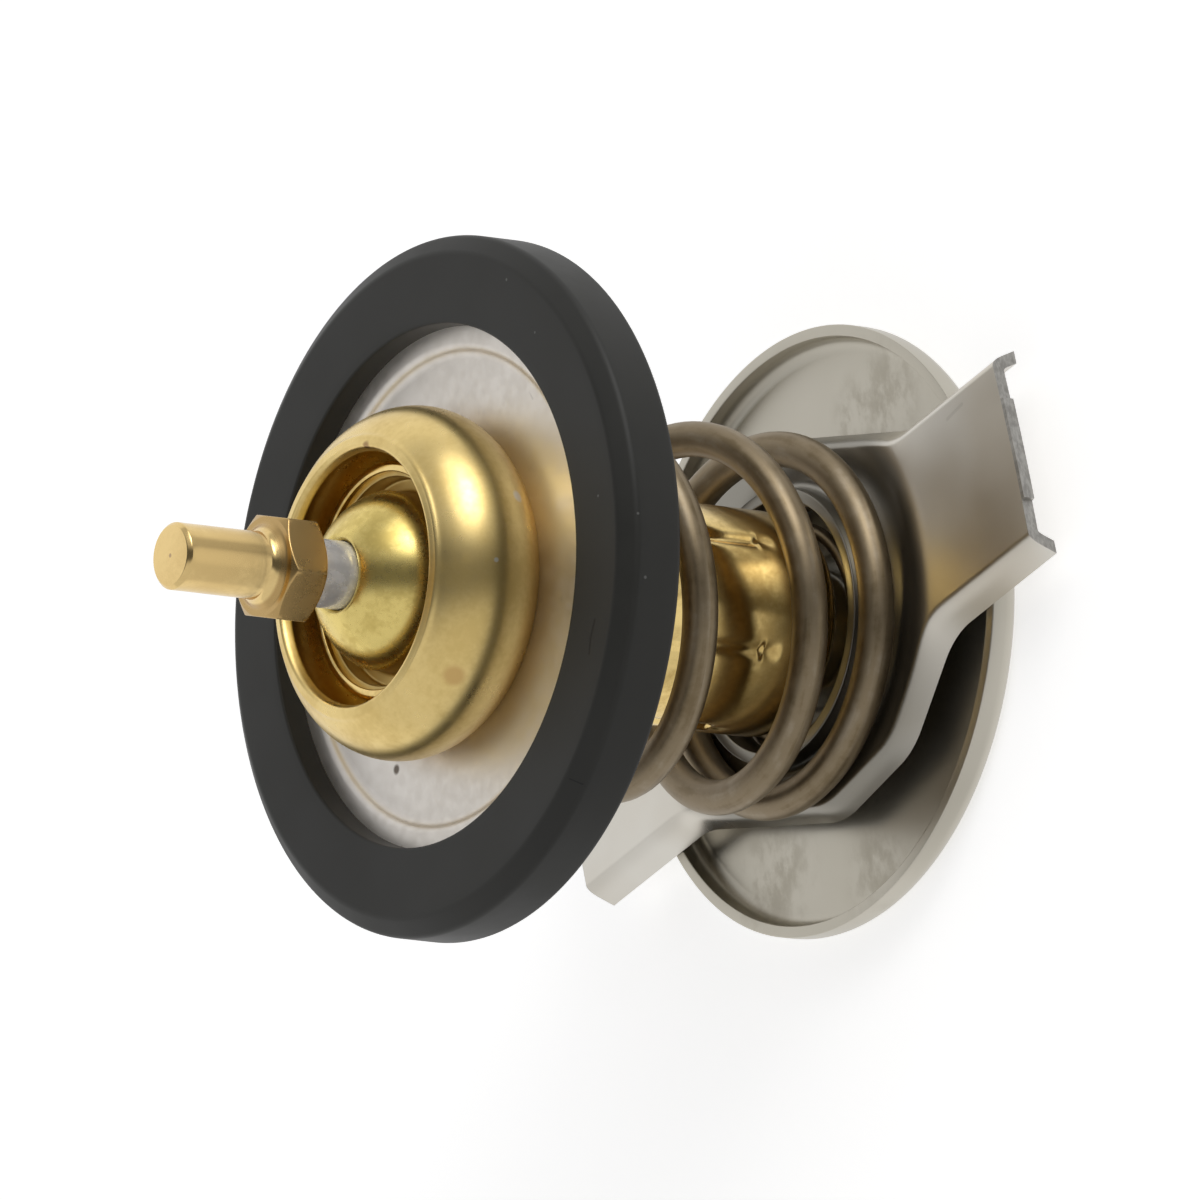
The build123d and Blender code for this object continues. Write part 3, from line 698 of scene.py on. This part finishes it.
def makeSeal():
    s = seal
    front = heights["sealFront"]
    profile = roundedLine([
        (s["inR"], heights["outerZone"]), (s["inR"], front, 0.3), (s["faceR"], front, 0.35),
        (s["outR"], front - s["bevel"], 0.45), (s["outR"], s["low"], 0.6), (s["backInR"], s["low"], 0.6),
        (s["backInR"], s["plateBack"]), (s["plateEdgeR"], s["plateBack"]), (s["plateEdgeR"], heights["outerZone"]),
    ], steps=8)
    return turnedPiece("rimSeal", profile, 320, longest=1.0)


dress(makeSeal(), "element", "rubber_seal", mouldedRubber)

# Disc: shallow pan with a boss round its stem
disc = {"rimR": 29.3, "inR": 28.2, "depth": 3.4, "sheet": 1.1, "drawR": 1.9, "bossR": 5.2, "slope": 1.6,
        "bossRise": 2.0, "holeR": 2.05}


def makeDisc():
    d = disc
    half = d["sheet"] / 2
    outerBend = arcPoints(d["rimR"] - d["drawR"], d["drawR"], d["drawR"], -90, 0, 12)
    innerR = d["drawR"] - half
    innerBend = arcPoints(d["inR"] - innerR, d["sheet"] + innerR, innerR, 0, -90, 12)
    start = roundedLine([
        (d["holeR"], d["bossRise"], 0.1), (d["bossR"], d["bossRise"], 0.4), (d["bossR"] + d["slope"], 0, 0.5),
        outerBend[0],
    ], closed=False)
    rim = roundedLine([outerBend[-1], (d["rimR"], d["depth"], 0.12), (d["inR"], d["depth"], 0.12), innerBend[0]],
                      closed=False)
    end = roundedLine([
        innerBend[-1], (d["bossR"] + d["slope"] + half, d["sheet"], 0.5),
        (d["bossR"] + half, d["bossRise"] + d["sheet"], 0.4), (d["holeR"], d["bossRise"] + d["sheet"], 0.1),
    ], closed=False)
    profile = np.vstack([start[:-1], outerBend, rim[1:-1], innerBend, end[1:]])
    return turnedPiece("bypassPan", profile, 256, longest=1.5)


dress(makeDisc(), "disc", "bypass_disc", discSteel)
print("turned pieces are made")

# Bracket: a strap pressed from one sheet; one half of its outline, each corner with its radius, from arm to arm
strap = {
    "outline": [(38.1, -9.4, 0), (20.4, -9.4, 9.0), (10.7, -17.1, 7.0), (-0.8, -18.5, 7.0), (-21.2, -9.4, 9.0),
                (-38.1, -9.4, 0)],
    "flareDeg": 24.0, "depth": 2.9, "sheet": 1.2, "crest": 1.4, "inside": 0.5, "seatR": 18.8, "slopeR": 23.2,
    "dish": 0.14, "dishFrom": 23, "dishRun": 8, "insetRows": 34, "inset": 3.0, "deep": 9.0, "openR": 14.2,
    "collarR": 13.3, "holeR": 12.1, "rise": 2.5, "blend": 0.9, "tabHalf": 5.3, "tabStep": 0.4,
    "tabEdge": 0.006, "acrossRows": 20, "armColumns": 44, "ringColumns": 96,
}


def touchingArcs(corners):
    # each inner corner becomes an arc of its radius that touches the two sides
    where = np.array([corner[:2] for corner in corners], float)
    parts = [where[:1]]
    for i in range(1, len(where) - 1):
        before, after = where[i - 1] - where[i], where[i + 1] - where[i]
        before, after = before / np.linalg.norm(before), after / np.linalg.norm(after)
        half, radius = np.arccos(np.dot(before, after)) / 2, corners[i][2]
        centre = where[i] + (before + after) / np.linalg.norm(before + after) * radius / np.sin(half)
        first = where[i] + before * radius / np.tan(half) - centre
        last = where[i] + after * radius / np.tan(half) - centre
        begin = np.arctan2(first[1], first[0])
        sweep = (np.arctan2(last[1], last[0]) - begin + np.pi) % (2 * np.pi) - np.pi
        angle = begin + sweep * np.linspace(0, 1, 24)
        parts.append(centre + radius * np.column_stack([np.cos(angle), np.sin(angle)]))
    return np.vstack(parts + [where[-1:]])


def softLower(a, b, reach):
    # the lower of two heights, rounded off where they are within reach of each other
    share = np.clip(1 - np.abs(a - b) / reach, 0, 1)
    return np.minimum(a, b) - share * share * reach / 4


def strapSheet(plan, offset, drop, bend):
    # height of one face of the sheet: the flared flange and the web, its seat sunk within slopeR; each arm's web is
    # slightly dished across
    s = strap
    flange = heights["web"] - (offset + drop / np.cos(np.radians(s["flareDeg"]))) / np.tan(np.radians(s["flareDeg"]))
    share = np.clip((np.hypot(plan[..., 0], plan[..., 1]) - s["seatR"]) / (s["slopeR"] - s["seatR"]), 0, 1)
    web = heights["seat"] + (heights["web"] - heights["seat"]) * share * share * (3 - 2 * share) - drop
    arm = np.clip((np.abs(plan[..., 0]) - s["dishFrom"]) / s["dishRun"], 0, 1)
    armHalf = -s["outline"][0][1]
    web = web - s["dish"] * arm * arm * (3 - 2 * arm) * np.clip(1 - (plan[..., 1] / armHalf) ** 2, 0, 1)
    return softLower(flange, web, bend)


def makeStrap():
    # points run along the half outline and, across it, from the free edge to the middle line or the collar's foot;
    # past the inset a point counts as deep inside the flange, so that only the web shapes it
    s = strap
    line = touchingArcs(s["outline"])
    length = lengthAlong(line)
    arms, ringCount = s["armColumns"], s["ringColumns"]
    first, last = s["outline"][0][0] - s["outline"][1][0], length[-1] + s["outline"][-1][0] - s["outline"][-2][0]
    stations = np.concatenate([np.linspace(0, first, arms, endpoint=False), np.linspace(first, last, ringCount + 1),
                               np.linspace(last, length[-1], arms + 1)[1:]])
    foot = np.column_stack([np.interp(stations, length, line[:, 0]), np.interp(stations, length, line[:, 1])])
    tangent = np.gradient(foot, axis=0)
    tangent /= np.linalg.norm(tangent, axis=1)[:, None]
    outward = np.column_stack([-tangent[:, 1], tangent[:, 0]])
    turn = -np.pi * np.linspace(0, 1, ringCount + 1)
    reach = np.linspace(s["outline"][0][0], s["openR"], arms, endpoint=False)
    inner = np.vstack([
        np.column_stack([reach, 0 * reach]), s["openR"] * np.column_stack([np.cos(turn), np.sin(turn)]),
        np.column_stack([-reach[::-1], 0 * reach]),
    ])
    edge = s["depth"] * np.tan(np.radians(s["flareDeg"]))
    wall = s["sheet"] / np.cos(np.radians(s["flareDeg"]))
    tab = 1 - s["tabHalf"] / (-s["outline"][0][1] - s["inset"])
    tabSides = [tab - s["tabEdge"], tab + s["tabEdge"]]
    shares = np.sort(np.concatenate([np.linspace(0, 1, s["acrossRows"])[1:], tabSides]))
    points, faces = [], []

    def addGrid(grid):
        rows, cols = grid.shape[:2]
        faces.append(gridFaces(rows, cols, False, False, sum(len(p) for p in points))[2])
        points.append(grid.reshape(-1, 3))

    sheets = []
    for outermost, drop, bend in ((edge, 0.0, s["crest"]), (edge - wall, s["sheet"], s["inside"])):
        offset = np.linspace(outermost, -s["inset"], s["insetRows"])
        offset = np.concatenate([offset, np.full(len(shares), -s["deep"])])
        near = foot[None] + outward[None] * np.maximum(offset, -s["inset"])[:, None, None]
        toInner = np.concatenate([np.zeros(s["insetRows"]), shares])[:, None, None]
        plan = near * (1 - toInner) + inner[None] * toInner
        height = strapSheet(plan, offset[:, None], drop, bend)
        tabbed = (np.abs(plan[..., 1]) < s["tabHalf"]) & (np.abs(plan[..., 0]) > s["outline"][0][0] - 0.001)
        plan = plan + np.stack([np.sign(plan[..., 0]) * s["tabStep"] * tabbed, 0 * height], -1)
        sheets.append(np.concatenate([plan, height[..., None]], -1))
    top, under = sheets
    rims = [np.stack([top[0], under[0]]), np.stack([top[:, 0], under[:, 0]]), np.stack([top[:, -1], under[:, -1]])]
    for side in (1, -1):
        for grid in [top, under] + rims:
            addGrid(grid * [side, side, 1])
    seat, back = heights["seat"], heights["seat"] - s["sheet"]
    blend, high = s["blend"], heights["seat"] + s["rise"]
    collar = np.vstack([
        arcPoints(s["openR"], seat + blend, blend, 270, 180, 8),
        roundedLine([(s["collarR"], seat + blend), (s["collarR"], high, 0.2), (s["holeR"], high, 0.2),
                     (s["holeR"], back + blend)], closed=False)[1:-1],
        arcPoints(s["holeR"] + blend, back + blend, blend, 180, 270, 8), [[s["openR"], back]],
    ])
    around = np.linspace(0, 2 * np.pi, 2 * ringCount + 1)
    addGrid(np.stack([collar[:, :1] * np.cos(around), collar[:, :1] * np.sin(around),
                      np.repeat(collar[:, 1:], len(around), 1)], -1))
    mesh = bpy.data.meshes.new("pressedStrap")
    mesh.from_pydata((np.vstack(points) * mm).tolist(), [], np.vstack(faces).tolist())
    return finishMesh("pressedStrap", mesh, 40)


dress(makeStrap(), "bracket", "bracket", pressedSteel)
print("strap is made")

# Main spring: its pitch grows from nothing, holds, and dies away
coil = {"wireR": 1.7, "coilR": 16.8, "length": 38.35, "pitch": 12.7, "ramp": 1.49, "startDeg": -170, "perTurn": 96}


def makeMainSpring():
    c = coil
    rise = c["length"] - 2 * c["wireR"]
    inAll = rise / c["pitch"] + c["ramp"]
    turns = np.linspace(0, inAll, int(inAll * c["perTurn"]))
    left = inAll - turns
    middle = c["pitch"] * (turns - c["ramp"] / 2)
    height = np.where(turns < c["ramp"], c["pitch"] * turns ** 2 / (2 * c["ramp"]),
                      np.where(left < c["ramp"], rise - c["pitch"] * left ** 2 / (2 * c["ramp"]), middle))
    angle = np.radians(c["startDeg"]) + 2 * np.pi * turns
    line = np.column_stack([c["coilR"] * np.cos(angle), c["coilR"] * np.sin(angle),
                            heights["seat"] + c["wireR"] + height])
    return wirePiece("mainSpring", line, c["wireR"], sides=32)


mainSpring = dress(makeMainSpring(), "element", "main_spring", springWire)

# Small spring of the disc, a cone of wire from the case's rounded end down to the pan's floor
cone = {"wireR": 0.65, "topR": 8.9, "baseR": 13.4, "turns": 2.6, "swell": 1.6, "closing": 0.55,
        "lowZ": 1.8, "highZ": 6.354, "perTurn": 96}


def makeSmallSpring():
    c = cone
    share = np.linspace(0, 1, int(c["turns"] * c["perTurn"]))
    rise = share - np.sin(2 * np.pi * share) / (2 * np.pi) * c["closing"]
    radius = c["baseR"] - (c["baseR"] - c["topR"]) * rise ** c["swell"]
    turn = 2 * np.pi * c["turns"] * share
    line = np.column_stack([radius * np.cos(turn), radius * np.sin(turn),
                            c["lowZ"] + (c["highZ"] - c["lowZ"]) * rise])
    return wirePiece("bypassSpring", line, c["wireR"], sides=20, endRound=0.15)


smallSpring = dress(makeSmallSpring(), "element", "bypass_spring", springWire)
print("springs are made")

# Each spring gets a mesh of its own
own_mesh(mainSpring)
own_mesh(smallSpring)

# CAD nodes that stay take a finish of their own
cadFinish = {
    "bypass_stem": caseBrass, "stem_washer": pinSteel, "stem_clip": springWire,
    "wax_charge": waxLook, "rubber_boot": mouldedRubber, "backing_ring": ringPlastic, "pin_wiper": mouldedRubber,
}
for nodeName, material in cadFinish.items():
    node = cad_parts[nodeName]
    node.data.materials.clear()
    node.data.materials.append(material)

# Directions of the picture in the part's frame: to the right, up, and towards the camera
view = {
    "right": Vector((0.545, -0.182, -0.819)), "up": Vector((0.442, 0.8915, 0.0966)),
    "near": Vector((0.7125, -0.4146, 0.5663)), "centre": Vector((8.58, -4.35, 34.77)) * mm,
    "distance": 2.5, "width": 0.1129, "sensor": 36.0,
}


def makeCamera():
    data = bpy.data.cameras.new("camera")
    data.sensor_width = view["sensor"]
    data.lens = view["sensor"] * view["distance"] / view["width"]
    data.clip_start, data.clip_end = 0.1, 20
    camera = bpy.data.objects.new("camera", data)
    bpy.context.scene.collection.objects.link(camera)
    near = view["near"].normalized()
    right = (view["right"] - view["right"].dot(near) * near).normalized()
    up = near.cross(right)
    turned = Matrix((right, up, near)).transposed().to_4x4()
    camera.matrix_world = Matrix.Translation(view["centre"] + near * view["distance"]) @ turned
    bpy.context.scene.camera = camera


makeCamera()

# Studio: what the metals see by direction. Each glow has its axis in the picture, the two values of the direction's
# share along it between which it comes up, and its brightness; base is the brightness elsewhere
studio = {
    "base": 0.10,
    "glows": {
        "sky": ("up", 0.34, 0.58, 0.54), "floor": ("up", 0.02, -0.26, 0.70),
        "side": ("right", 0.78, 0.92, 0.85), "back": ("near", 0.12, -0.28, 0.90),
    },
}


def makeWorld():
    world = bpy.data.worlds.new("studio")
    bpy.context.scene.world = world
    world.use_nodes = True
    nodes = Nodes(world.node_tree)
    direction = nodes.add("ShaderNodeTexCoord").outputs["Generated"]

    level = studio["base"]
    for axis, low, high, bright in studio["glows"].values():
        along = nodes.add("ShaderNodeVectorMath", {0: direction, 1: tuple(view[axis])}, operation="DOT_PRODUCT")
        glow = nodes.between(along.outputs["Value"], low, high, studio["base"], bright)
        level = nodes.math("MAXIMUM", level, glow)
    path = nodes.add("ShaderNodeLightPath")
    level = nodes.math("MAXIMUM", level, path.outputs["Is Camera Ray"])
    shade = nodes.add("ShaderNodeBackground", {"Color": (1, 1, 1, 1), "Strength": level})
    nodes.add("ShaderNodeOutputWorld", {0: shade.outputs[0]})


makeWorld()

# A soft lamp above, towards the camera, and a small one in its middle: along is how far right, up and near it lies
lamps = {
    "top": {"along": (0.02, 0.870, 0.492), "distance": 0.45, "size": 0.42, "watts": 0.62},
    "core": {"along": (0.09, 0.845, 0.525), "distance": 0.44, "size": 0.16, "watts": 0.28},
}


def makeLamps():
    for name, lamp in lamps.items():
        a, b, c = lamp["along"]
        direction = (view["right"] * a + view["up"] * b + view["near"] * c).normalized()
        data = bpy.data.lights.new(name + " lamp", "AREA")
        data.shape, data.size, data.energy = "DISK", lamp["size"], lamp["watts"]
        light = bpy.data.objects.new(name + " lamp", data)
        bpy.context.scene.collection.objects.link(light)
        light.location = view["centre"] + direction * lamp["distance"]
        light.rotation_mode = "QUATERNION"
        light.rotation_quaternion = direction.to_track_quat("Z", "Y")


makeLamps()


# Floor: half its side in metres, its grey, and the glow that only the camera sees, which turns it white
ground = {"half": 1.5, "grey": 0.8, "glow": 0.56}


def makeFloor():
    half, grey = ground["half"], ground["grey"]
    mesh = bpy.data.meshes.new("floor")
    mesh.from_pydata([(-half, -half, 0), (half, -half, 0), (half, half, 0), (-half, half, 0)], [], [(0, 1, 2, 3)])
    floor = bpy.data.objects.new("floor", mesh)
    bpy.context.scene.collection.objects.link(floor)
    material, nodes = newMaterial("pale floor")
    path = nodes.add("ShaderNodeLightPath")
    matt = nodes.add("ShaderNodeBsdfDiffuse", {"Color": (grey, grey, grey, 1)})
    seen = nodes.math("MULTIPLY", path.outputs["Is Camera Ray"], ground["glow"])
    glow = nodes.add("ShaderNodeEmission", {"Color": (1, 1, 1, 1), "Strength": seen})
    both = nodes.add("ShaderNodeAddShader", {0: matt.outputs[0], 1: glow.outputs[0]})
    nodes.add("ShaderNodeOutputMaterial", {0: both.outputs[0]})
    mesh.materials.append(material)
    floor.visible_glossy = False


makeFloor()
bpy.context.scene.view_settings.view_transform = "Standard"
print("camera and light are set")
